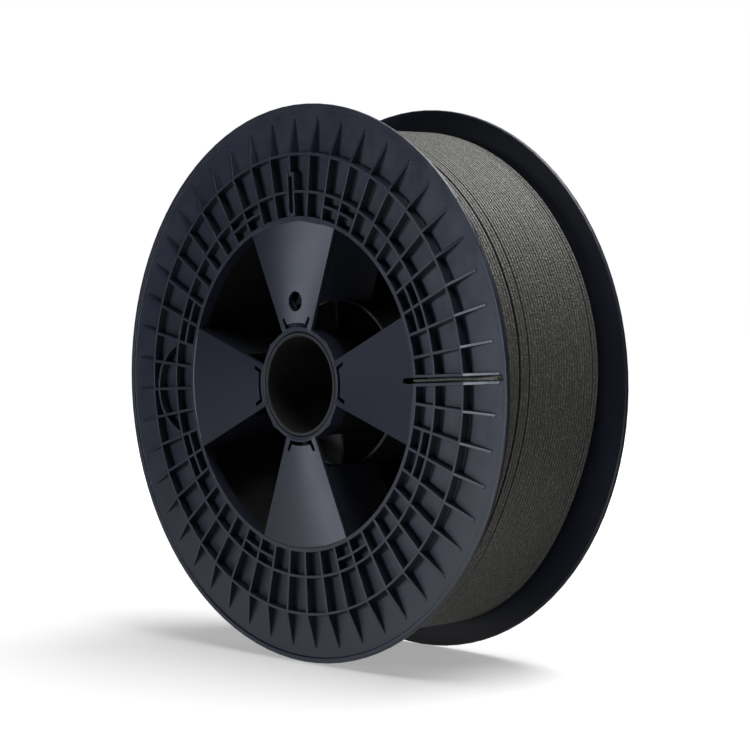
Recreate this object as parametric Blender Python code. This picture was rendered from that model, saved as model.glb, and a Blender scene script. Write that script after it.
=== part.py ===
"""Large filament spool, Blender 4.5, metres, +Z up, spool axis along Y.

The origin is the centre of the bore, half way between the two flanges. The spool stands on its two rims,
with its front flange at -Y. Angles are measured from the top, clockwise as seen from the front.
"""

import math

import bmesh
import bpy

MM = 0.001

# Driving dimensions in millimetres and degrees
FLANGE_D = 300.0            # rim to rim
OVERALL_W = 100.8           # over the rib tops of both flanges
BORE_D = 51.5               # spindle bore through the hub tube
TURN = -3.3                 # how far the spool has rolled from having a spoke upright

RIB_H = 5.4                 # ribs above the flange plate
PLATE_T = 1.7               # flange plate
RIM_H = 1.0                 # rim bead above the flange plate
RIM_W = 2.9                 # rim bead, radially
RIM_CHAMFER = 0.6
RIM_SLOPE = 0.4             # radial run of the bead's inner flank
RIB_T = 1.5                 # radial ribs
RING_T = 1.5                # ring ribs
RING1_T = 2.2               # the ring round the opening
RIB_COUNT = 48
RING_SHARES = (0.5927, 0.688, 0.8213)   # mid lines of the three ring ribs, of the rim radius
PART_RING_SHARE = 0.56      # short ring ribs beside the spoke edges, on the way from ring 1 to ring 2
GUSSET_INSET = 8.0          # the outer gussets end this far inside the rim
SLOT_GUSSET_INSET = 5.5     # and those beside the long slot this far
GUSSET_END_H = 0.5          # height left at their ends

SPOKE_COUNT = 4
SPOKE_HALF = 22.0           # half angle of a spoke
SPOKE_SINK = 0.4            # spoke face below the rib tops
SPOKE_T = 2.4
SPOKE_WALL_T = 1.8          # walls running inward from the spoke edges
SPOKE_WALL_GAP = 21.0       # left open between the walls of the two flanges
WALL_INSET = 0.1            # those walls stand just inside the spoke edges
HUB_RING_T = 2.3            # flange ring that grips the hub tube
HUB_RING_DEPTH = 9.0
HUB_SINK = 1.1              # hub face below the rib tops
HUB_CORNER = 0.9            # how far its corners in the windows stand out

TONGUE_R = 31.9             # snap tongue slot, mid line of its arc
TONGUE_HALF = 14.2
TONGUE_LEG_R, TONGUE_LEG_HALF = 37.0, 16.2
TONGUE_SLOT = 1.9
DRIVE_HOLE_D, DRIVE_HOLE_R = 10.5, 44.5

SLOT_W = 3.0                # slots for a filament end
SLOT_WALL_T = 1.5
LONG_SLOT_START, LONG_SLOT_END = 8.9, 3.0    # inside ring 1, inside the rim
SHORT_SLOT_START, SHORT_SLOT_END = 2.5, 8.8  # outside ring 1, outside ring 2
LOOP_R, LOOP_OFFSET = 26.4, 3.5   # curved rib beyond the left spoke, and its centre outside ring 1

BARREL_OFFSET = 5.6         # outside of the winding barrel, from ring 1
BARREL_T = 2.6
HUB_TUBE_T = 2.3
SLEEVE_R, SLEEVE_T = 46.0, 1.6    # sleeve round the middle of the hub tube
SLEEVE_INSET = 30.0         # its ends, from the rib tops
SLEEVE_GAP = 1.3            # from the sleeve out to the spoke walls
WEB_T = 1.8                 # webs that join it to the tube, one behind each spoke

FILAMENT_D = 1.75
COIL_INSET = 12.5           # outside of the wound filament, from the rim
COIL_CHAMFER = 1.2
TAIL_START, TAIL_END = 4.5, 1.5   # ends of the strand, from the ends of the long slot
TAIL_SINK = 3.2             # its axis below the rib tops
TAIL_BEND, TAIL_DROP = 3.0, 4.0   # where it turns inward, and how far it runs on

FIT = 0.3                   # air between two pieces that touch
WALL_BITE = 0.5             # how deep a joined shape reaches into the next
TOP_STEP = 0.05             # joined walls end this far below the rib tops
OVERCUT = 2.0               # how far a cutter runs past what it cuts
EDGE = 0.5                  # small chamfers of the turned pieces

# Facets of the curves
TURNED_FACETS = 96          # drum and wound filament, once round
HUB_FACETS = 64             # hub tube and sleeve, once round
BORE_FACETS = 64            # hole for the hub tube, once round
HOLE_FACETS = 32            # driving hole, once round
STRAND_FACETS = 12          # filament, once round
LOOP_FACETS = 16            # the curved rib
TONGUE_FACETS = 10          # arc of a snap tongue slot
SLOT_END_FACETS = 8         # round end of a slot
SPOKE_IN_FACETS, SPOKE_OUT_FACETS = 6, 12   # a spoke's two ends
SMOOTH_ANGLE = 30.0         # facets that meet more sharply than this keep a hard edge

# Derived levels, measured outward from the middle plane of the spool
H_TOP = OVERALL_W / 2
H_PLATE = H_TOP - RIB_H
H_RIM = H_PLATE + RIM_H
H_IN = H_PLATE - PLATE_T
H_SPOKE = H_TOP - SPOKE_SINK
H_HUB = H_TOP - HUB_SINK
R_RIM = FLANGE_D / 2
RING1_R, RING2_R, RING3_R = [share * R_RIM for share in RING_SHARES]
PART_RING_R = RING1_R + PART_RING_SHARE * (RING2_R - RING1_R)
GUSSET_R = R_RIM - GUSSET_INSET
LONG_SLOT_R = (RING1_R - LONG_SLOT_START, R_RIM - LONG_SLOT_END)
SHORT_SLOT_R = (RING1_R + SHORT_SLOT_START, RING2_R + SHORT_SLOT_END)
BORE_R = BORE_D / 2
TUBE_R = BORE_R + HUB_TUBE_T
R_OPEN = RING1_R - RING1_T / 2
BARREL_R = RING1_R + BARREL_OFFSET
COIL_R = R_RIM - COIL_INSET
HUB_OUT_R = TUBE_R + FIT + HUB_RING_T
SPOKE_WALL_R = SLEEVE_R + SLEEVE_GAP
H_SLEEVE = H_TOP - SLEEVE_INSET
STEP = 360.0 / RIB_COUNT
SPOKE_STEP = 360.0 / SPOKE_COUNT
SLOT_RIB = RIB_COUNT // SPOKE_COUNT   # the rib that the long slot runs through


def clear_scene():
    for old in list(bpy.data.objects):
        bpy.data.objects.remove(old, do_unlink=True)


def plastic(name, colour, rough, coat=0.0):
    made = bpy.data.materials.new(name)
    made.use_nodes = True
    shader = made.node_tree.nodes["Principled BSDF"]
    shader.inputs["Base Color"].default_value = (*colour, 1.0)
    shader.inputs["Roughness"].default_value = rough
    shader.inputs["Coat Weight"].default_value = coat
    return made


def at(r, angle, h, side=1, offset=0.0):
    """A point at radius r, angle from the spoke axis and height h outward; side -1 is the rear flange."""
    t = math.radians(TURN + side * angle)
    across = side * offset
    x = r * math.sin(t) + across * math.cos(t)
    z = r * math.cos(t) - across * math.sin(t)
    return (x * MM, -side * h * MM, z * MM)


def add_object(name, bm, material=None, smooth=True):
    bmesh.ops.recalc_face_normals(bm, faces=bm.faces)
    if bm.calc_volume(signed=True) < 0:
        bmesh.ops.reverse_faces(bm, faces=bm.faces)
    mesh = bpy.data.meshes.new(name)
    bm.to_mesh(mesh)
    bm.free()
    made = bpy.data.objects.new(name, mesh)
    bpy.context.scene.collection.objects.link(made)
    if material:
        mesh.materials.append(material)
    if smooth:
        for face in mesh.polygons:
            face.use_smooth = True
        mesh.set_sharp_from_angle(angle=math.radians(SMOOTH_ANGLE))
    return made


def helper(name, bm):
    """A shape that only cuts or joins a part."""
    made = add_object(name, bm, smooth=False)
    made.hide_render = True
    made.display_type = "WIRE"
    return made


def boolean(target, other, operation):
    change = target.modifiers.new(other.name, "BOOLEAN")
    change.operation = operation
    change.solver = "EXACT"
    change.object = other
    return change


def prism(outline, low, high, side):
    """A closed outline of (r, angle, offset) points between two heights."""
    bm = bmesh.new()
    rings = []
    for h in (low, high):
        rings.append([bm.verts.new(at(r, a, h, side, off)) for r, a, off in outline])
    bm.faces.new(rings[0])
    bm.faces.new(list(reversed(rings[1])))
    count = len(outline)
    for i in range(count):
        j = (i + 1) % count
        bm.faces.new((rings[0][i], rings[1][i], rings[1][j], rings[0][j]))
    return bm


def arc(r, start, end, count, offset=0.0):
    return [(r, start + (end - start) * i / count, offset) for i in range(count + 1)]


def edge_angle(width, r):
    return math.degrees(math.asin(width / 2 / r))


def lathe(profile, facets):
    """A closed (r, y) profile turned once round the spool axis."""
    bm = bmesh.new()
    rings = []
    for i in range(facets):
        t = 2 * math.pi * i / facets
        corner = (math.sin(t), math.cos(t))
        rings.append([bm.verts.new((r * corner[0] * MM, y * MM, r * corner[1] * MM)) for r, y in profile])
    size = len(profile)
    for i in range(facets):
        here, there = rings[i], rings[(i + 1) % facets]
        for k in range(size):
            n = (k + 1) % size
            bm.faces.new((here[k], there[k], there[n], here[n]))
    return bm


class Lattice:
    """The ribbed annulus of a flange, built rib by rib on shared vertices."""

    def __init__(self, side):
        self.side = side
        self.bm = bmesh.new()
        self.cache = {}

    def v(self, r, line, k, h):
        k = k % RIB_COUNT
        key = (r, line, k, h)
        if key not in self.cache:
            angle = k * STEP
            if line == "mid":
                angle += STEP / 2
            if line == "left":
                angle -= edge_angle(self.rib_width(k), r)
            if line == "right":
                angle += edge_angle(self.rib_width(k), r)
            self.cache[key] = self.bm.verts.new(at(r, angle, h, self.side))
        return self.cache[key]

    def rib_width(self, k):
        return SLOT_W + 2 * SLOT_WALL_T if k == SLOT_RIB else RIB_T

    def face(self, *corners):
        self.bm.faces.new([self.v(*corner) for corner in corners])

    def plate(self, *corners):
        """A face of the flange plate, from (r, line, rib) corners."""
        self.face(*[(*corner, H_PLATE) for corner in corners])

    def quad(self, low, high, first, second):
        """Four corners from two (radius, height) pairs and two (line, rib) pairs."""
        (r0, h0), (r1, h1) = low, high
        self.face((r0, *first, h0), (r0, *second, h0), (r1, *second, h1), (r1, *first, h1))

    def strip(self, k, low, high):
        """Two quads across the gap between rib k and the next."""
        lines = [("right", k), ("mid", k), ("left", k + 1)]
        for first, second in zip(lines[:-1], lines[1:]):
            self.quad(low, high, first, second)

    def pocket(self, k, r0, r1):
        self.strip(k, (r0, H_PLATE), (r1, H_PLATE))
        self.strip(k, (r0, H_TOP), (r0, H_PLATE))
        self.strip(k, (r1, H_PLATE), (r1, H_TOP))
        for line, n in (("right", k), ("left", k + 1)):
            corners = ((r0, H_TOP), (r0, H_PLATE), (r1, H_PLATE), (r1, H_TOP))
            self.face(*[(r, line, n, h) for r, h in corners])

    def rib_top(self, k, left_radii, right_radii):
        corners = [(r, "left", k, H_TOP) for r in left_radii]
        corners += [(r, "right", k, H_TOP) for r in reversed(right_radii)]
        self.face(*corners)

    def gusset_end(self, k):
        return R_RIM - (SLOT_GUSSET_INSET if k % RIB_COUNT == SLOT_RIB else GUSSET_INSET)

    def gusset(self, k, start, beyond):
        """The wedge that runs from rib k down to the plate, and the plate beside and beyond it."""
        end, low = self.gusset_end(k), H_PLATE + GUSSET_END_H
        after = self.gusset_end(k + 1)
        self.quad((start, H_TOP), (end, low), ("left", k), ("right", k))
        self.quad((end, low), (end, H_PLATE), ("left", k), ("right", k))
        for line in ("left", "right"):
            corners = ((start, H_TOP), (start, H_PLATE), (end, H_PLATE), (end, low))
            self.face(*[(r, line, k, h) for r, h in corners])
        middle = (GUSSET_R, "mid", k)
        self.plate((start, "right", k), (start, "mid", k), middle, (end, "right", k))
        self.plate((start, "mid", k), (start, "left", k + 1), (after, "left", k + 1), middle)
        self.plate((end, "left", k), (end, "right", k), (beyond, "rib", k))
        self.plate((end, "right", k), middle, (beyond, "mid", k), (beyond, "rib", k))
        self.plate(middle, (after, "left", k + 1), (beyond, "rib", k + 1), (beyond, "mid", k))

    def round_band(self, profile):
        """Bands with one vertex on each rib line and one between ribs."""
        for low, high in zip(profile[:-1], profile[1:]):
            for k in range(RIB_COUNT):
                self.quad(low, high, ("rib", k), ("mid", k))
                self.quad(low, high, ("mid", k), ("rib", k + 1))


def has_part_ring(k):
    """The two gaps on either side of each spoke edge carry a short ring rib."""
    from_axis = (k + 0.5) * STEP % SPOKE_STEP
    from_axis = min(from_axis, SPOKE_STEP - from_axis)
    return 2 * STEP < from_axis < 4 * STEP


def ribbed_annulus(side):
    lat = Lattice(side)
    ring1 = RING1_R + RING1_T / 2
    part = (PART_RING_R - RING_T / 2, PART_RING_R + RING_T / 2)
    ring2 = (RING2_R - RING_T / 2, RING2_R + RING_T / 2)
    ring3 = (RING3_R - RING_T / 2, RING3_R + RING_T / 2)
    rim_in = R_RIM - RIM_W
    for k in range(RIB_COUNT):
        # ring 1 top, from the even spacing of the opening to the rib edges
        opening, next_opening = (R_OPEN, "rib", k, H_TOP), (R_OPEN, "rib", k + 1, H_TOP)
        middle, outside = (R_OPEN, "mid", k, H_TOP), (ring1, "mid", k, H_TOP)
        lat.face(opening, (ring1, "right", k, H_TOP), (ring1, "left", k, H_TOP))
        lat.face(opening, middle, outside, (ring1, "right", k, H_TOP))
        lat.face(middle, next_opening, (ring1, "left", k + 1, H_TOP), outside)
        # pockets between ring 1 and ring 2
        if has_part_ring(k):
            lat.pocket(k, ring1, part[0])
            lat.strip(k, (part[0], H_TOP), (part[1], H_TOP))
            lat.pocket(k, part[1], ring2[0])
        else:
            lat.pocket(k, ring1, ring2[0])
        radii = []
        for gap in (k - 1, k):
            split = list(part) if has_part_ring(gap % RIB_COUNT) else []
            radii.append([ring1, *split, ring2[0]])
        lat.rib_top(k, radii[0], radii[1])
        # ring 2, pockets, ring 3
        lat.strip(k, (ring2[0], H_TOP), (ring2[1], H_TOP))
        lat.rib_top(k, ring2, ring2)
        lat.pocket(k, ring2[1], ring3[0])
        lat.rib_top(k, (ring2[1], ring3[0]), (ring2[1], ring3[0]))
        lat.strip(k, (ring3[0], H_TOP), (ring3[1], H_TOP))
        lat.rib_top(k, ring3, ring3)
        lat.strip(k, (ring3[1], H_TOP), (ring3[1], H_PLATE))
        lat.gusset(k, ring3[1], rim_in - RIM_SLOPE / 2)
    lat.round_band(
        [
            (rim_in - RIM_SLOPE / 2, H_PLATE),
            (rim_in + RIM_SLOPE / 2, H_RIM),
            (R_RIM - RIM_CHAMFER, H_RIM),
            (R_RIM, H_RIM - RIM_CHAMFER),
            (R_RIM, H_IN + RIM_CHAMFER),
            (R_RIM - RIM_CHAMFER, H_IN),
            (R_OPEN, H_IN),
            (R_OPEN, H_TOP),
        ]
    )
    return lat.bm


def stadium(centre_angle, r0, r1, half_width):
    """A radial slot outline with round ends, as (r, angle, offset) points."""
    points = []
    for end, direction in ((r0 + half_width, 1), (r1 - half_width, -1)):
        for i in range(SLOT_END_FACETS + 1):
            a = math.pi * i / SLOT_END_FACETS
            along, across = half_width * math.sin(a), half_width * math.cos(a)
            points.append((end - direction * along, centre_angle, direction * across))
    return points


def box_outline(centre_angle, r0, r1, half_width, shift=0.0):
    return [
        (r0, centre_angle, shift - half_width),
        (r0, centre_angle, shift + half_width),
        (r1, centre_angle, shift + half_width),
        (r1, centre_angle, shift - half_width),
    ]


def tongue_outline(axis):
    """U-shaped slot with its arc towards the hub and its legs leaning outward."""
    half = TONGUE_SLOT / 2
    leg = math.degrees(half / TONGUE_LEG_R)
    outline = arc(TONGUE_R - half, axis - TONGUE_HALF - leg, axis + TONGUE_HALF + leg, TONGUE_FACETS)
    outline += [(TONGUE_LEG_R, axis + TONGUE_LEG_HALF + sign * leg, 0.0) for sign in (1, -1)]
    outline += arc(TONGUE_R + half, axis + TONGUE_HALF - leg, axis - TONGUE_HALF + leg, TONGUE_FACETS)
    outline += [(TONGUE_LEG_R, axis - TONGUE_LEG_HALF + sign * leg, 0.0) for sign in (1, -1)]
    return outline


def spoke_shapes(name, side, n):
    """A spoke's face plate, its two inward walls and the slot that frees its snap tongue."""
    axis = n * SPOKE_STEP
    start, end = axis - SPOKE_HALF, axis + SPOKE_HALF
    outline = arc(HUB_OUT_R - HUB_RING_T / 2, start, end, SPOKE_IN_FACETS)
    outline += list(reversed(arc(RING1_R, start, end, SPOKE_OUT_FACETS)))
    joins = [(f"{name}_spoke{n}", prism(outline, H_SPOKE - SPOKE_T, H_SPOKE, side))]
    for edge, label in ((-1, "a"), (1, "b")):
        shift = -edge * (SPOKE_WALL_T / 2 + WALL_INSET)
        beside, reach = axis + edge * SPOKE_HALF, R_OPEN + WALL_BITE
        wall = box_outline(beside, SPOKE_WALL_R, reach, SPOKE_WALL_T / 2, shift)
        joins.append((f"{name}_wall{n}{label}", prism(wall, SPOKE_WALL_GAP / 2, H_SPOKE - WALL_BITE, side)))
    slot = prism(tongue_outline(axis), H_SPOKE - SPOKE_T - OVERCUT, H_SPOKE + OVERCUT, side)
    return joins, (f"{name}_tongue{n}", slot)


def hub_ring(side):
    """The ring that grips the hub tube, with a raised corner in the middle of each window."""
    outline = []
    for i in range(RIB_COUNT):
        angle = i * STEP
        from_axis = abs((angle + SPOKE_STEP / 2) % SPOKE_STEP - SPOKE_STEP / 2)
        in_window = from_axis > SPOKE_STEP / 2 - STEP / 2
        outline.append((HUB_OUT_R + (HUB_CORNER if in_window else 0.0), angle, 0.0))
    return prism(outline, H_HUB - HUB_RING_DEPTH, H_HUB, side)


def loop_rib(side):
    """The curved rib that bows out from ring 2 beyond the left spoke."""
    centre = RING1_R + LOOP_OFFSET
    half = math.acos((RING2_R**2 - centre**2 - LOOP_R**2) / (2 * centre * LOOP_R))
    outline = []
    for r, direction in ((LOOP_R + RIB_T / 2, 1), (LOOP_R - RIB_T / 2, -1)):
        for i in range(LOOP_FACETS + 1):
            a = direction * half * (2 * i / LOOP_FACETS - 1)
            outline.append((centre + r * math.cos(a), 3 * SPOKE_STEP, r * math.sin(a)))
    return prism(outline, H_PLATE - WALL_BITE, H_TOP - TOP_STEP, side)


def circle_outline(radius, count, centre_r=0.0):
    points = []
    for i in range(count):
        a = 2 * math.pi * i / count
        points.append((centre_r + radius * math.cos(a), 0, radius * math.sin(a)))
    return points


def flange(name, side, material):
    part = add_object(name, ribbed_annulus(side), material)
    joins, cuts = [], []
    for n in range(SPOKE_COUNT):
        shapes, slot = spoke_shapes(name, side, n)
        joins += shapes
        cuts.append(slot)
    joins.append((f"{name}_hub", hub_ring(side)))
    short_wall = box_outline(0, RING1_R, SHORT_SLOT_R[1] + SLOT_WALL_T, SLOT_W / 2 + SLOT_WALL_T)
    joins.append((f"{name}_short", prism(short_wall, H_PLATE - WALL_BITE, H_TOP - TOP_STEP, side)))
    joins.append((f"{name}_loop", loop_rib(side)))
    beyond = H_TOP + OVERCUT
    cuts.append((f"{name}_bore", prism(circle_outline(TUBE_R + FIT, BORE_FACETS), 0.0, beyond, side)))
    for label, axis, radii in (("long", SPOKE_STEP, LONG_SLOT_R), ("brief", 0, SHORT_SLOT_R)):
        outline = stadium(axis, *radii, SLOT_W / 2)
        cuts.append((f"{name}_{label}", prism(outline, H_IN - OVERCUT, beyond, side)))
    drive = circle_outline(DRIVE_HOLE_D / 2, HOLE_FACETS, DRIVE_HOLE_R)
    cuts.append((f"{name}_drive", prism(drive, H_SPOKE - SPOKE_T - OVERCUT, beyond, side)))
    for label, bm in joins:
        boolean(part, helper(label, bm), "UNION")
    for label, bm in cuts:
        boolean(part, helper(label, bm), "DIFFERENCE")
    return part


def ring_profile(r0, r1, half, inner=0.0):
    """A (r, y) section of a tube with chamfered outer edges and, if asked, chamfered inner ones."""
    outer = [(r1 - EDGE, -half), (r1, -half + EDGE), (r1, half - EDGE), (r1 - EDGE, half)]
    if inner:
        return outer + [(r0 + inner, half), (r0, half - inner), (r0, -half + inner), (r0 + inner, -half)]
    return outer + [(r0, half), (r0, -half)]


def hub_core(material):
    """Hub tube with the sleeve round its middle, joined by a web behind each spoke."""
    tube = lathe(ring_profile(BORE_R, TUBE_R, H_HUB, EDGE), HUB_FACETS)
    part = add_object("hub_tube", tube, material)
    reach = H_SLEEVE - WALL_BITE
    for n in range(SPOKE_COUNT):
        outline = box_outline(
            n * SPOKE_STEP, TUBE_R - HUB_TUBE_T / 2, SLEEVE_R - SLEEVE_T / 2, WEB_T / 2
        )
        boolean(part, helper(f"hub_web{n}", prism(outline, -reach, reach, 1)), "UNION")
    sleeve = lathe(ring_profile(SLEEVE_R - SLEEVE_T, SLEEVE_R, H_SLEEVE), HUB_FACETS)
    boolean(part, helper("hub_sleeve", sleeve), "UNION")
    return part


def barrel(material):
    profile = ring_profile(BARREL_R - BARREL_T, BARREL_R, H_IN - FIT)
    return add_object("winding_barrel", lathe(profile, TURNED_FACETS), material)


def coil(material):
    r0, w, c = BARREL_R + FIT, H_IN - FIT, COIL_CHAMFER
    profile = [(r0, -w), (COIL_R - c, -w), (COIL_R, -w + c), (COIL_R, w - c), (COIL_R - c, w), (r0, w)]
    return add_object("filament_coil", lathe(profile, TURNED_FACETS), material)


def tail(material):
    """The first end of the filament, lying in the long slot of the front flange."""
    h, r0 = H_TOP - TAIL_SINK, LONG_SLOT_R[0] + TAIL_START
    mid_bend = TAIL_BEND * (1 - math.sqrt(0.5))   # half way round the quarter bend
    path = [
        (LONG_SLOT_R[1] - TAIL_END, h),
        (r0 + TAIL_BEND, h),
        (r0 + mid_bend, h - mid_bend),
        (r0, h - TAIL_BEND),
        (r0, h - TAIL_BEND - TAIL_DROP),
    ]
    bm = bmesh.new()
    rings = []
    count, radius = STRAND_FACETS, FILAMENT_D / 2
    for i, (r, y) in enumerate(path):
        before, after = path[max(i - 1, 0)], path[min(i + 1, len(path) - 1)]
        along = (after[0] - before[0], after[1] - before[1])
        length = math.hypot(*along)
        normal = (-along[1] / length, along[0] / length)
        ring = []
        for n in range(count):
            a = 2 * math.pi * n / count
            out, across = radius * math.cos(a), radius * math.sin(a)
            place = at(r + normal[0] * out, SPOKE_STEP, y + normal[1] * out, 1, across)
            ring.append(bm.verts.new(place))
        rings.append(ring)
    for here, there in zip(rings[:-1], rings[1:]):
        for n in range(count):
            m = (n + 1) % count
            bm.faces.new((here[n], there[n], there[m], here[m]))
    bm.faces.new(rings[0])
    bm.faces.new(list(reversed(rings[-1])))
    return add_object("filament_start", bm, material)


def main():
    clear_scene()
    charcoal = plastic("Charcoal polystyrene", (0.022, 0.023, 0.028), 0.38)
    core = plastic("Charcoal polystyrene, core", (0.018, 0.019, 0.023), 0.42)
    strand = plastic("Carbon filled filament", (0.045, 0.045, 0.038), 0.62)
    flange("front_flange", 1, charcoal)
    flange("rear_flange", -1, charcoal)
    barrel(core)
    hub_core(core)
    coil(strand)
    tail(strand)


main()
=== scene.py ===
"""Looks for the large filament spool: satin charcoal flanges, wound carbon-filled filament, white studio.

Sizes of the spool are in millimetres, turned into metres by MM. Lights, floor and textures are in metres.
Angles are in degrees from the top, clockwise as seen from the front flange, which is at -Y.
"""

import math

import bpy
from mathutils import Matrix, Vector


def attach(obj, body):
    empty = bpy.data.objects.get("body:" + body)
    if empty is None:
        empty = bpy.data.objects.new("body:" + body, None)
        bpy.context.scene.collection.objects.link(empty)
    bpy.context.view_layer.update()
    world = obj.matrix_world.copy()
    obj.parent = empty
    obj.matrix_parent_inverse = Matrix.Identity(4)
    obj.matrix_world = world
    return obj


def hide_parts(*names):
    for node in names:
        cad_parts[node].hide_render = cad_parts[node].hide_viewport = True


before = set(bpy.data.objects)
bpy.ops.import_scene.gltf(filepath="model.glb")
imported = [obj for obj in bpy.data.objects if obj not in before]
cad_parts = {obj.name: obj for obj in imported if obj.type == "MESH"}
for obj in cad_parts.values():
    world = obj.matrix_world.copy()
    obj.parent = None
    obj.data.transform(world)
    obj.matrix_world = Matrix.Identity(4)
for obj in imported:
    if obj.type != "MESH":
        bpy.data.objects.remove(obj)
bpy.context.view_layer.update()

MM = 0.001

# The flanges, measured from the spool's axis and from the plane midway between them
RIM_R = 150.0
RIB_TOP = 50.4                  # rib tops
SPOKE_FACE = 50.0               # outer faces of the spokes
FACE_SLACK = 0.05               # how far a face may be from SPOKE_FACE and still be a spoke's
SPOKE_REACH = (31.0, 87.0)      # where the middles of the spoke faces lie, from the axis
LONG_SLOT = (80.0, 147.0)       # ends of the slot that holds the filament's first end
TURN = -3.3                     # how far the spool has rolled
EDGE_R = 0.22                   # rounding of moulded edges

# The wound filament
STRAND_D = 1.75
STRAND_SIDES = 8
PITCH = 1.98                    # from one turn to the next
WIND_R = 137.5                  # outside of the wound filament
WIND_END = 42.2                 # outermost turns, from the middle plane
WIND_STEPS = 180                # steps round the axis
GAPS = ((-21.8, 1.3), (-14.6, 0.7), (35.0, 0.4), (38.4, 1.3))   # wider gaps between turns: place, extra width
DRIFT = -6.2                    # how far the turns lean over towards the front flange
DRIFT_AT, DRIFT_WIDTH = 117.0, 27.0     # the angle where they lean most, and how quickly the lean ends
DRIFT_FULL = -20.0              # turns behind this place lean in full
CROSSOVER = (200.0, 340.0)      # each turn moves over to the next in this range
# Small waves of a turn: size, waves in a turn, how far each turn's wave is ahead of the last one's in radians
WANDERS = ((0.05, 3, 2.4), (0.04, 7, 5.1))      # sideways
SINK = (0.06, 5, 3.7)                           # inwards

# The body under the outermost turns
BODY_R = (94.9, 133.6)          # inside, and outside between its ribs
BODY_ENDS = (-43.0, 42.4)       # front and rear
BODY_RIB = 0.7                  # height of its ribs, one to a turn

# The filament's first end, in the long slot
LIE_DEPTH = 3.2                 # from the rib tops to its middle
BEND_R, BEND_STEPS = 3.0, 8     # its bend into the slot
BEND_IN = 4.5                   # from the slot's inner end to where it goes down
DOWN = 3.9                      # straight length below the bend
END_IN = 1.6                    # from the slot's outer end to its cut end
LIE_STEP, LIE_POINTS = 5.0, 12  # points along the slot
LIE_WAVE, SIDE_WAVE = (0.25, 0.9), (0.12, 0.7)  # up and down, and sideways: size, radians from point to point
END_SIDES = 14

# The camera
AZIMUTH, ELEVATION = 46.4, 2.69     # round to the right of the spool's axis, and up
DISTANCE, SHIFT_RIGHT, SHIFT_UP = 1373.0, 4.84, 3.42
LENS, SENSOR = 120.0, 36.0

# The studio, in metres
FLOOR_HALF = 8.0
FLOOR_DROP = 0.2 * MM           # from the rims to the floor
BOUNCE_DROP = 1.0 * MM          # from the seen floor to the one that only lights the spool
FLOOR_GREY, BOUNCE_GREY = 0.58, 0.4
FLOOR_GLOW = (0.36, 1.0)        # near the spool and far from it
FLOOR_FADE = (0.45, 1.3)        # where the one goes over into the other
# Bright places of the floor, mirrored by the spool: middle, where the glow begins and ends to fade, strength
BOUNCES = (((0.0, -0.75), 0.3, 0.9, 1.15), ((0.27, -0.17), 0.08, 0.26, 1.9))
BOUNCE_FAR = 0.01               # strength beyond them
AMBIENT = 0.02                  # the surroundings' light on the spool
WHITE = (1.0, 1.0, 1.0, 1.0)

# Places of a Mix node's colour sockets: factor, A and B, and the result
MIX_INPUTS, MIX_OUTPUT = (0, 6, 7), 2


def srgb(r, g, b):
    """Linear colour of an sRGB triple given from 0 to 255."""
    out = []
    for value in (r, g, b):
        v = value / 255
        out.append(v / 12.92 if v <= 0.04045 else ((v + 0.055) / 1.055) ** 2.4)
    return (*out, 1.0)


class Nodes:
    """Shorthands for building a material's node tree."""

    def __init__(self, name):
        self.material = bpy.data.materials.new(name)
        self.material.use_nodes = True
        self.tree = self.material.node_tree
        self.shader = self.tree.nodes["Principled BSDF"]

    def add(self, kind, **inputs):
        node = self.tree.nodes.new(kind)
        for key, value in inputs.items():
            socket = node.inputs[key.replace("_", " ")]
            if isinstance(value, bpy.types.NodeSocket):
                self.tree.links.new(value, socket)
            else:
                socket.default_value = value
        return node

    def noise(self, vector, scale, detail=3.0, rough=0.55):
        node = self.add("ShaderNodeTexNoise", Vector=vector, Scale=scale, Detail=detail, Roughness=rough)
        return node.outputs["Fac"]

    def levels(self, value, low, high, to_low, to_high):
        node = self.add("ShaderNodeMapRange", Value=value, From_Min=low, From_Max=high)
        node.inputs["To Min"].default_value, node.inputs["To Max"].default_value = to_low, to_high
        return node.outputs["Result"]

    def math(self, operation, a, b=0.0):
        node = self.tree.nodes.new("ShaderNodeMath")
        node.operation = operation
        for socket, value in zip(node.inputs, (a, b)):
            if isinstance(value, bpy.types.NodeSocket):
                self.tree.links.new(value, socket)
            else:
                socket.default_value = value
        return node.outputs["Value"]

    def mix(self, factor, a, b):
        node = self.tree.nodes.new("ShaderNodeMix")
        node.data_type = "RGBA"
        for index, value in zip(MIX_INPUTS, (factor, a, b)):
            if isinstance(value, bpy.types.NodeSocket):
                self.tree.links.new(value, node.inputs[index])
            else:
                node.inputs[index].default_value = value
        return node.outputs[MIX_OUTPUT]

    def place(self):
        return self.add("ShaderNodeTexCoord").outputs["Object"]

    def scaled(self, vector, x, y, z):
        node = self.add("ShaderNodeVectorMath", Vector=vector)
        node.operation = "MULTIPLY"
        node.inputs[1].default_value = (x, y, z)
        return node.outputs["Vector"]

    def bump(self, height, strength, distance):
        node = self.add("ShaderNodeBump", Height=height, Strength=strength, Distance=distance)
        self.link("Normal", node.outputs["Normal"])

    def link(self, socket, value):
        target = self.shader.inputs[socket]
        if isinstance(value, bpy.types.NodeSocket):
            self.tree.links.new(value, target)
        else:
            target.default_value = value


def mottled(n, place, base):
    """Gives a plastic its colour with faint broad mottling, and its gloss index."""
    broad = n.noise(place, 14.0, 2.0)
    paler = [v * 1.12 for v in base]
    n.link("Base Color", n.mix(n.levels(broad, 0.3, 0.7, 0.0, 1.0), srgb(*base), srgb(*paler)))
    n.shader.inputs["IOR"].default_value = 1.5


def flow_streaks(n, place):
    return n.noise(n.scaled(place, 60.0, 9.0, 60.0), 1.0, 5.0, 0.7)


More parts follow.
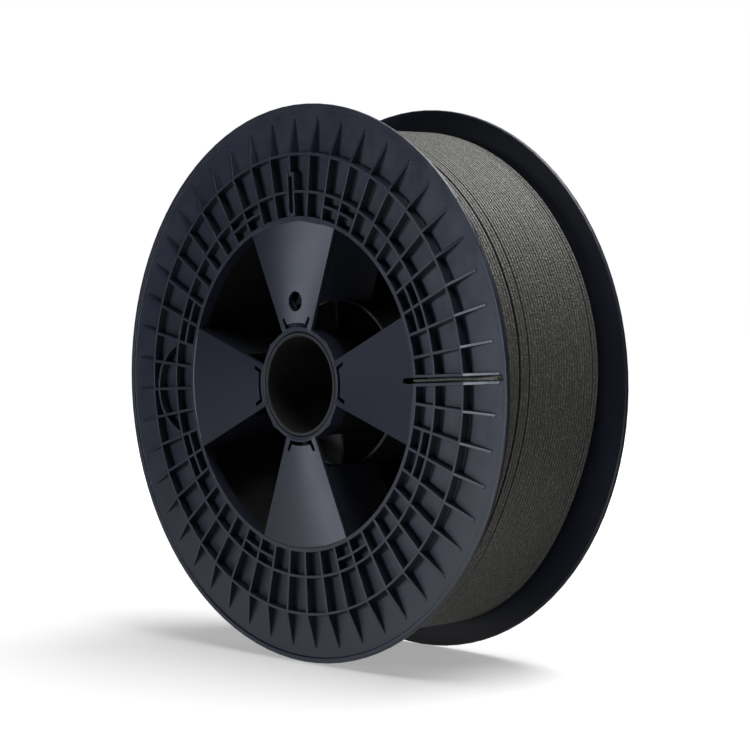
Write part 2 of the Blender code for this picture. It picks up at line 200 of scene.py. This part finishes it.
def charcoal_plastic(name, base, rough):
    """Satin injection-moulded polystyrene: faint mottling, flow streaks and a fine moulded grain."""
    n = Nodes(name)
    place = n.place()
    mottled(n, place, base)
    fine = n.noise(place, 900.0, 3.0)
    scuffs = flow_streaks(n, place)
    streaky = n.levels(scuffs, 0.35, 0.75, rough - 0.05, rough + 0.08)
    n.link("Roughness", n.math("ADD", streaky, n.levels(fine, 0.3, 0.7, -0.02, 0.02)))
    n.bump(n.math("ADD", n.math("MULTIPLY", fine, 0.4), scuffs), 0.12, 0.08 * MM)
    return n.material


def turned_plastic(name, base, rough):
    """The same plastic with its mould's fine turning marks, which spread highlights into fans."""
    n = Nodes(name)
    place = n.place()
    mottled(n, place, base)
    scuffs = flow_streaks(n, place)
    n.link("Roughness", n.levels(scuffs, 0.35, 0.75, rough - 0.03, rough + 0.05))
    n.shader.inputs["Anisotropic"].default_value = 0.95
    grain = n.tree.nodes.new("ShaderNodeTangent")
    grain.direction_type = "RADIAL"
    grain.axis = "Y"
    n.link("Tangent", grain.outputs["Tangent"])
    n.bump(scuffs, 0.05, 0.08 * MM)
    return n.material


def filament_plastic(name, shade_gain=1.0):
    """Carbon-filled strand: dark olive grey, matte, speckled and rough. Its last argument, below 1, darkens
    colour and specks evenly as painted shade, for turns that lie in shadow.
    """
    n = Nodes(name)
    place = n.place()
    grain = n.noise(place, 2600.0, 3.0, 0.6)
    specks = n.noise(place, 900.0, 1.0, 0.5)
    # scaling these colours down paints shade into the filament, it is not a darker filament
    dark, light = [srgb(*[v * shade_gain for v in colour]) for colour in ((44, 44, 41), (76, 76, 72))]
    base = n.mix(n.levels(grain, 0.35, 0.65, 0.0, 1.0), dark, light)
    n.link("Base Color", n.mix(n.levels(specks, 0.48, 0.70, 0.0, 0.4 * shade_gain), base, srgb(132, 131, 123)))
    n.link("Roughness", n.levels(grain, 0.3, 0.7, 0.34, 0.6))
    n.bump(n.math("ADD", specks, n.math("MULTIPLY", grain, 0.4)), 0.8, 0.5 * MM)
    return n.material


def add_mesh(name, verts, faces, material):
    """A new smooth-shaded object."""
    mesh = bpy.data.meshes.new(name)
    mesh.from_pydata(verts, [], faces)
    mesh.update()
    made = bpy.data.objects.new(name, mesh)
    bpy.context.scene.collection.objects.link(made)
    mesh.materials.append(material)
    mesh.polygons.foreach_set("use_smooth", [True] * len(mesh.polygons))
    return made


def smoothstep(value, low, high):
    t = min(max((value - low) / (high - low), 0.0), 1.0)
    return t * t * (3 - 2 * t)


def paint(node, material):
    node.data.materials.clear()
    node.data.materials.append(material)


def paint_spokes(node, material):
    """Gives a flange's four spoke faces their own material."""
    node.data.materials.append(material)
    for face in node.data.polygons:
        place = node.matrix_world @ face.center
        level, reach = abs(place.y) / MM, math.hypot(place.x, place.z) / MM
        outward = abs(face.normal.y) > 0.9 and abs(level - SPOKE_FACE) < FACE_SLACK
        if outward and SPOKE_REACH[0] < reach < SPOKE_REACH[1]:
            face.material_index = 1


def within_tops():
    """Geometry nodes that press back what rounding leaves proud of the rib tops."""
    tree = bpy.data.node_groups.new("within_tops", "GeometryNodeTree")
    for way in ("INPUT", "OUTPUT"):
        tree.interface.new_socket("Geometry", in_out=way, socket_type="NodeSocketGeometry")
    start = tree.nodes.new("NodeGroupInput")
    place = tree.nodes.new("GeometryNodeSetPosition")
    end = tree.nodes.new("NodeGroupOutput")
    old = tree.nodes.new("GeometryNodeInputPosition")
    parts = tree.nodes.new("ShaderNodeSeparateXYZ")
    clamp = tree.nodes.new("ShaderNodeClamp")
    new = tree.nodes.new("ShaderNodeCombineXYZ")
    clamp.inputs["Min"].default_value = -RIB_TOP * MM
    clamp.inputs["Max"].default_value = RIB_TOP * MM
    links = (
        (start.outputs["Geometry"], place.inputs["Geometry"]),
        (place.outputs["Geometry"], end.inputs["Geometry"]),
        (old.outputs["Position"], parts.inputs["Vector"]),
        (parts.outputs["X"], new.inputs["X"]),
        (parts.outputs["Y"], clamp.inputs["Value"]),
        (clamp.outputs["Result"], new.inputs["Y"]),
        (parts.outputs["Z"], new.inputs["Z"]),
        (new.outputs["Vector"], place.inputs["Position"]),
    )
    for source, target in links:
        tree.links.new(source, target)
    return tree


def soften(node, width):
    """Rounds the edges of a moulded part slightly, with modifiers only."""
    weld = node.modifiers.new("weld", "WELD")
    weld.merge_threshold = 0.005 * MM
    merged = node.modifiers.new("merge_flats", "DECIMATE")
    merged.decimate_type = "DISSOLVE"
    merged.angle_limit = math.radians(0.6)
    merged.delimit = {"MATERIAL"}
    edges = node.modifiers.new("round_edges", "BEVEL")
    edges.width = width * MM
    edges.segments = 2
    edges.limit_method = "ANGLE"
    edges.angle_limit = math.radians(35.0)
    edges.use_clamp_overlap = False
    edges.harden_normals = True
    level = node.modifiers.new("level_tops", "NODES")
    level.node_group = within_tops()


def tube(path, frames, radius, sides, material, name):
    """A closed tube along points, each with its own pair of cross directions."""
    verts, faces = [], []
    for point, (across, out) in zip(path, frames):
        for n in range(sides):
            a = 2 * math.pi * n / sides
            verts.append(point + across * (radius * math.cos(a)) + out * (radius * math.sin(a)))
    for i in range(len(path) - 1):
        for n in range(sides):
            m = (n + 1) % sides
            faces.append((i * sides + n, i * sides + m, (i + 1) * sides + m, (i + 1) * sides + n))
    faces.append(tuple(range(sides - 1, -1, -1)))
    faces.append(tuple(range(len(verts) - sides, len(verts))))
    return add_mesh(name, verts, faces, material)


def lanes():
    """Places along the spool axis of the outermost turns, from the front flange to the rear one."""
    found, y = [], -WIND_END
    while y <= WIND_END:
        found.append(y)
        step = PITCH
        for place, extra in GAPS:
            if y <= place < y + PITCH:
                step += extra
        y += step
    return found


def drift(y, theta):
    """How far a turn leans towards the front flange at an angle from the top, less where it has no room."""
    room = smoothstep(y, -WIND_END, DRIFT_FULL)
    return DRIFT * math.exp(-(((theta - DRIFT_AT) / DRIFT_WIDTH) ** 2)) * room


def wave(shape, theta, turn):
    """One of a turn's small waves at an angle from the top."""
    size, count, shift = shape
    return size * math.sin(math.radians(theta) * count + turn * shift)


def on_spool(r, y, theta):
    t = math.radians(theta)
    return Vector((r * math.sin(t), y, r * math.cos(t))) * MM


def outer_turns(material):
    """The outermost turns as one strand round the spool."""
    places = lanes()
    path, frames = [], []
    along_axis = Vector((0.0, 1.0, 0.0))
    for turn, y in enumerate(places[:-1]):
        for step in range(WIND_STEPS):
            theta = 360.0 * step / WIND_STEPS
            here = y + (places[turn + 1] - y) * smoothstep(theta, *CROSSOVER)
            wander = wave(WANDERS[0], theta, turn) + wave(WANDERS[1], theta, turn)
            sink = abs(wave(SINK, theta, turn))
            path.append(on_spool(WIND_R - STRAND_D / 2 - sink, here + drift(here, theta) + wander, theta))
            frames.append((along_axis, on_spool(1 / MM, 0.0, theta)))
    strand = tube(path, frames, STRAND_D / 2 * MM, STRAND_SIDES, material, "filament_winding")
    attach(strand, "root")
    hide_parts("filament_coil")


def turns_below(material):
    """A ribbed body that fills the space below the outermost turns."""
    inside, outside = BODY_R
    profile = [(inside, BODY_ENDS[0]), (outside, BODY_ENDS[0])]
    half_ribs = 2 * int(2 * WIND_END / PITCH)
    for k in range(half_ribs + 1):
        profile.append((outside + BODY_RIB * (k % 2), -WIND_END + k * PITCH / 2))
    profile += [(outside, BODY_ENDS[1]), (inside, BODY_ENDS[1])]
    verts, faces = [], []
    size = len(profile)
    for step in range(WIND_STEPS):
        theta = 360.0 * step / WIND_STEPS
        verts += [on_spool(r, y + drift(y, theta), theta) for r, y in profile]
    for step in range(WIND_STEPS):
        here, after = step * size, (step + 1) % WIND_STEPS * size
        for k in range(size):
            n = (k + 1) % size
            faces.append((here + k, here + n, after + n, after + k))
    body = add_mesh("filament_body", verts, faces, material)
    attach(body, "root")


def first_end_line():
    """The first end's line from its cut end: distance from the axis and height over the middle plane."""
    top, inner = RIB_TOP - LIE_DEPTH, LONG_SLOT[0] + BEND_IN
    line = []
    for i in range(LIE_POINTS):
        line.append((LONG_SLOT[1] - END_IN - LIE_STEP * i, top + LIE_WAVE[0] * math.sin(LIE_WAVE[1] * i)))
    for i in range(BEND_STEPS + 1):
        a = math.pi / 2 * i / BEND_STEPS
        line.append((inner + BEND_R - BEND_R * math.sin(a), top - BEND_R + BEND_R * math.cos(a)))
    line.append((inner, top - BEND_R - DOWN))
    return line


def first_end(material):
    """The filament's first end, lying in the long slot of the front flange."""
    t = math.radians(90.0 + TURN)
    radial = Vector((math.sin(t), 0.0, math.cos(t)))
    across = Vector((math.cos(t), 0.0, -math.sin(t)))
    line = first_end_line()
    path, frames = [], []
    for i, (r, height) in enumerate(line):
        before, after = line[max(i - 1, 0)], line[min(i + 1, len(line) - 1)]
        along = Vector((after[0] - before[0], after[1] - before[1])).normalized()
        aside = across * (SIDE_WAVE[0] * math.sin(SIDE_WAVE[1] * i))
        path.append((radial * r + Vector((0.0, -height, 0.0)) + aside) * MM)
        frames.append((across, radial * -along[1] + Vector((0.0, -along[0], 0.0))))
    strand = tube(path, frames, STRAND_D / 2 * MM, END_SIDES, material, "filament_first_end")
    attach(strand, "root")
    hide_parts("filament_start")


def floor_plane(name, material, level, seen):
    """One of the two floors, either for the camera only or for everything but the camera."""
    signs = ((-1, -1), (1, -1), (1, 1), (-1, 1))
    corners = [(x * FLOOR_HALF, y * FLOOR_HALF, level) for x, y in signs]
    plane = add_mesh(name, corners, [(0, 1, 2, 3)], material)
    for kind in ("diffuse", "glossy", "transmission"):
        setattr(plane, f"visible_{kind}", not seen)
    plane.visible_camera = seen


def floor_material(name, grey):
    """A matt grey floor that also glows white."""
    n = Nodes(name)
    n.link("Base Color", (grey, grey, grey, 1.0))
    n.link("Roughness", 0.9)
    n.shader.inputs["Emission Color"].default_value = WHITE
    return n


def studio():
    """A white floor. What the camera sees fades to plain white, and a second one gives the bounced light."""
    level = -RIM_R * MM - FLOOR_DROP
    seen = floor_material("Studio_floor", FLOOR_GREY)
    seen.shader.inputs["Specular IOR Level"].default_value = 0.0
    reach = seen.add("ShaderNodeVectorMath", Vector=seen.place())
    reach.operation = "LENGTH"
    seen.link("Emission Strength", seen.levels(reach.outputs["Value"], *FLOOR_FADE, *FLOOR_GLOW))
    floor_plane("floor", seen.material, level, True)
    bounce = floor_material("Studio_bounce", BOUNCE_GREY)
    glows = []
    for place, near, far, glow in BOUNCES:
        away = bounce.add("ShaderNodeVectorMath", Vector=bounce.place())
        away.operation = "DISTANCE"
        away.inputs[1].default_value = (*place, 0.0)
        glows.append(bounce.levels(away.outputs["Value"], near, far, glow, BOUNCE_FAR))
    bounce.link("Emission Strength", bounce.math("ADD", *glows))
    floor_plane("floor_bounce", bounce.material, level - BOUNCE_DROP, False)


def camera():
    """Seen from the right of the spool's axis and from just above its middle."""
    azimuth, elevation = math.radians(AZIMUTH), math.radians(ELEVATION)
    level = Vector((math.sin(azimuth), -math.cos(azimuth), 0.0))
    back = level * math.cos(elevation) + Vector((0.0, 0.0, math.sin(elevation)))
    right = Vector((math.cos(azimuth), math.sin(azimuth), 0.0))
    up = back.cross(right)
    data = bpy.data.cameras.new("camera")
    data.sensor_width = SENSOR
    data.lens = LENS
    data.clip_end = 50.0
    made = bpy.data.objects.new("camera", data)
    bpy.context.scene.collection.objects.link(made)
    place = (right * SHIFT_RIGHT + up * SHIFT_UP + back * DISTANCE) * MM
    turn = Matrix((right, up, back)).transposed().to_4x4()
    made.matrix_world = Matrix.Translation(place) @ turn
    bpy.context.scene.camera = made


def area(name, place, aim, size, power, colour=WHITE[:3]):
    """A rectangular lamp at a place, turned to aim at a point."""
    data = bpy.data.lights.new(name, "AREA")
    data.shape = "RECTANGLE"
    data.size, data.size_y = size
    data.energy = power
    data.color = colour
    made = bpy.data.objects.new(name, data)
    bpy.context.scene.collection.objects.link(made)
    made.location = place
    made.rotation_euler = (Vector(aim) - Vector(place)).to_track_quat("-Z", "Y").to_euler()


def surroundings():
    """A world that the camera sees as white and that lights the spool only faintly."""
    world = bpy.data.worlds.new("studio")
    bpy.context.scene.world = world
    world.use_nodes = True
    tree = world.node_tree
    background = tree.nodes["Background"]
    background.inputs["Strength"].default_value = 1.0
    path = tree.nodes.new("ShaderNodeLightPath")
    pick = tree.nodes.new("ShaderNodeMix")
    pick.data_type = "RGBA"
    factor, unseen, seen = [pick.inputs[index] for index in MIX_INPUTS]
    unseen.default_value = (AMBIENT, AMBIENT, AMBIENT * 1.08, 1.0)
    seen.default_value = WHITE
    tree.links.new(path.outputs["Is Camera Ray"], factor)
    tree.links.new(pick.outputs[MIX_OUTPUT], background.inputs["Color"])


def lights():
    """A large soft box overhead, a small cool one in front for the flange faces, and a dim one behind."""
    middle = (0.0, 0.0, 0.0)
    area("overhead", (0.26, 0.2, 1.15), middle, (1.5, 0.8), 32.0)
    area("front", (-0.34, -1.25, 0.01), (0.0, 0.0, -0.03), (0.34, 0.26), 7.0, (0.86, 0.92, 1.05))
    area("back", (-0.4, 1.5, 0.35), middle, (0.8, 0.8), 6.0)
    bpy.context.scene.view_settings.view_transform = "Standard"


camera()
surroundings()
lights()
studio()

flange_plastic = charcoal_plastic("flange_plastic", (32, 35, 46), 0.36)
spoke_plastic = turned_plastic("spoke_plastic", (30, 33, 44), 0.41)
core_plastic = charcoal_plastic("core_plastic", (9, 9, 11), 0.6)
filament = filament_plastic("filament_strand")
for node_name in ("front_flange", "rear_flange"):
    paint(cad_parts[node_name], flange_plastic)
    paint_spokes(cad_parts[node_name], spoke_plastic)
    soften(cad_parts[node_name], EDGE_R)
for node_name in ("winding_barrel", "hub_tube"):
    paint(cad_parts[node_name], core_plastic)
outer_turns(filament)
# the body under the outermost turns gets the filament darkened to 0.35: painted shade for the deep gaps
# between turns
turns_below(filament_plastic("filament_below_painted_shade", 0.35))
first_end(filament)
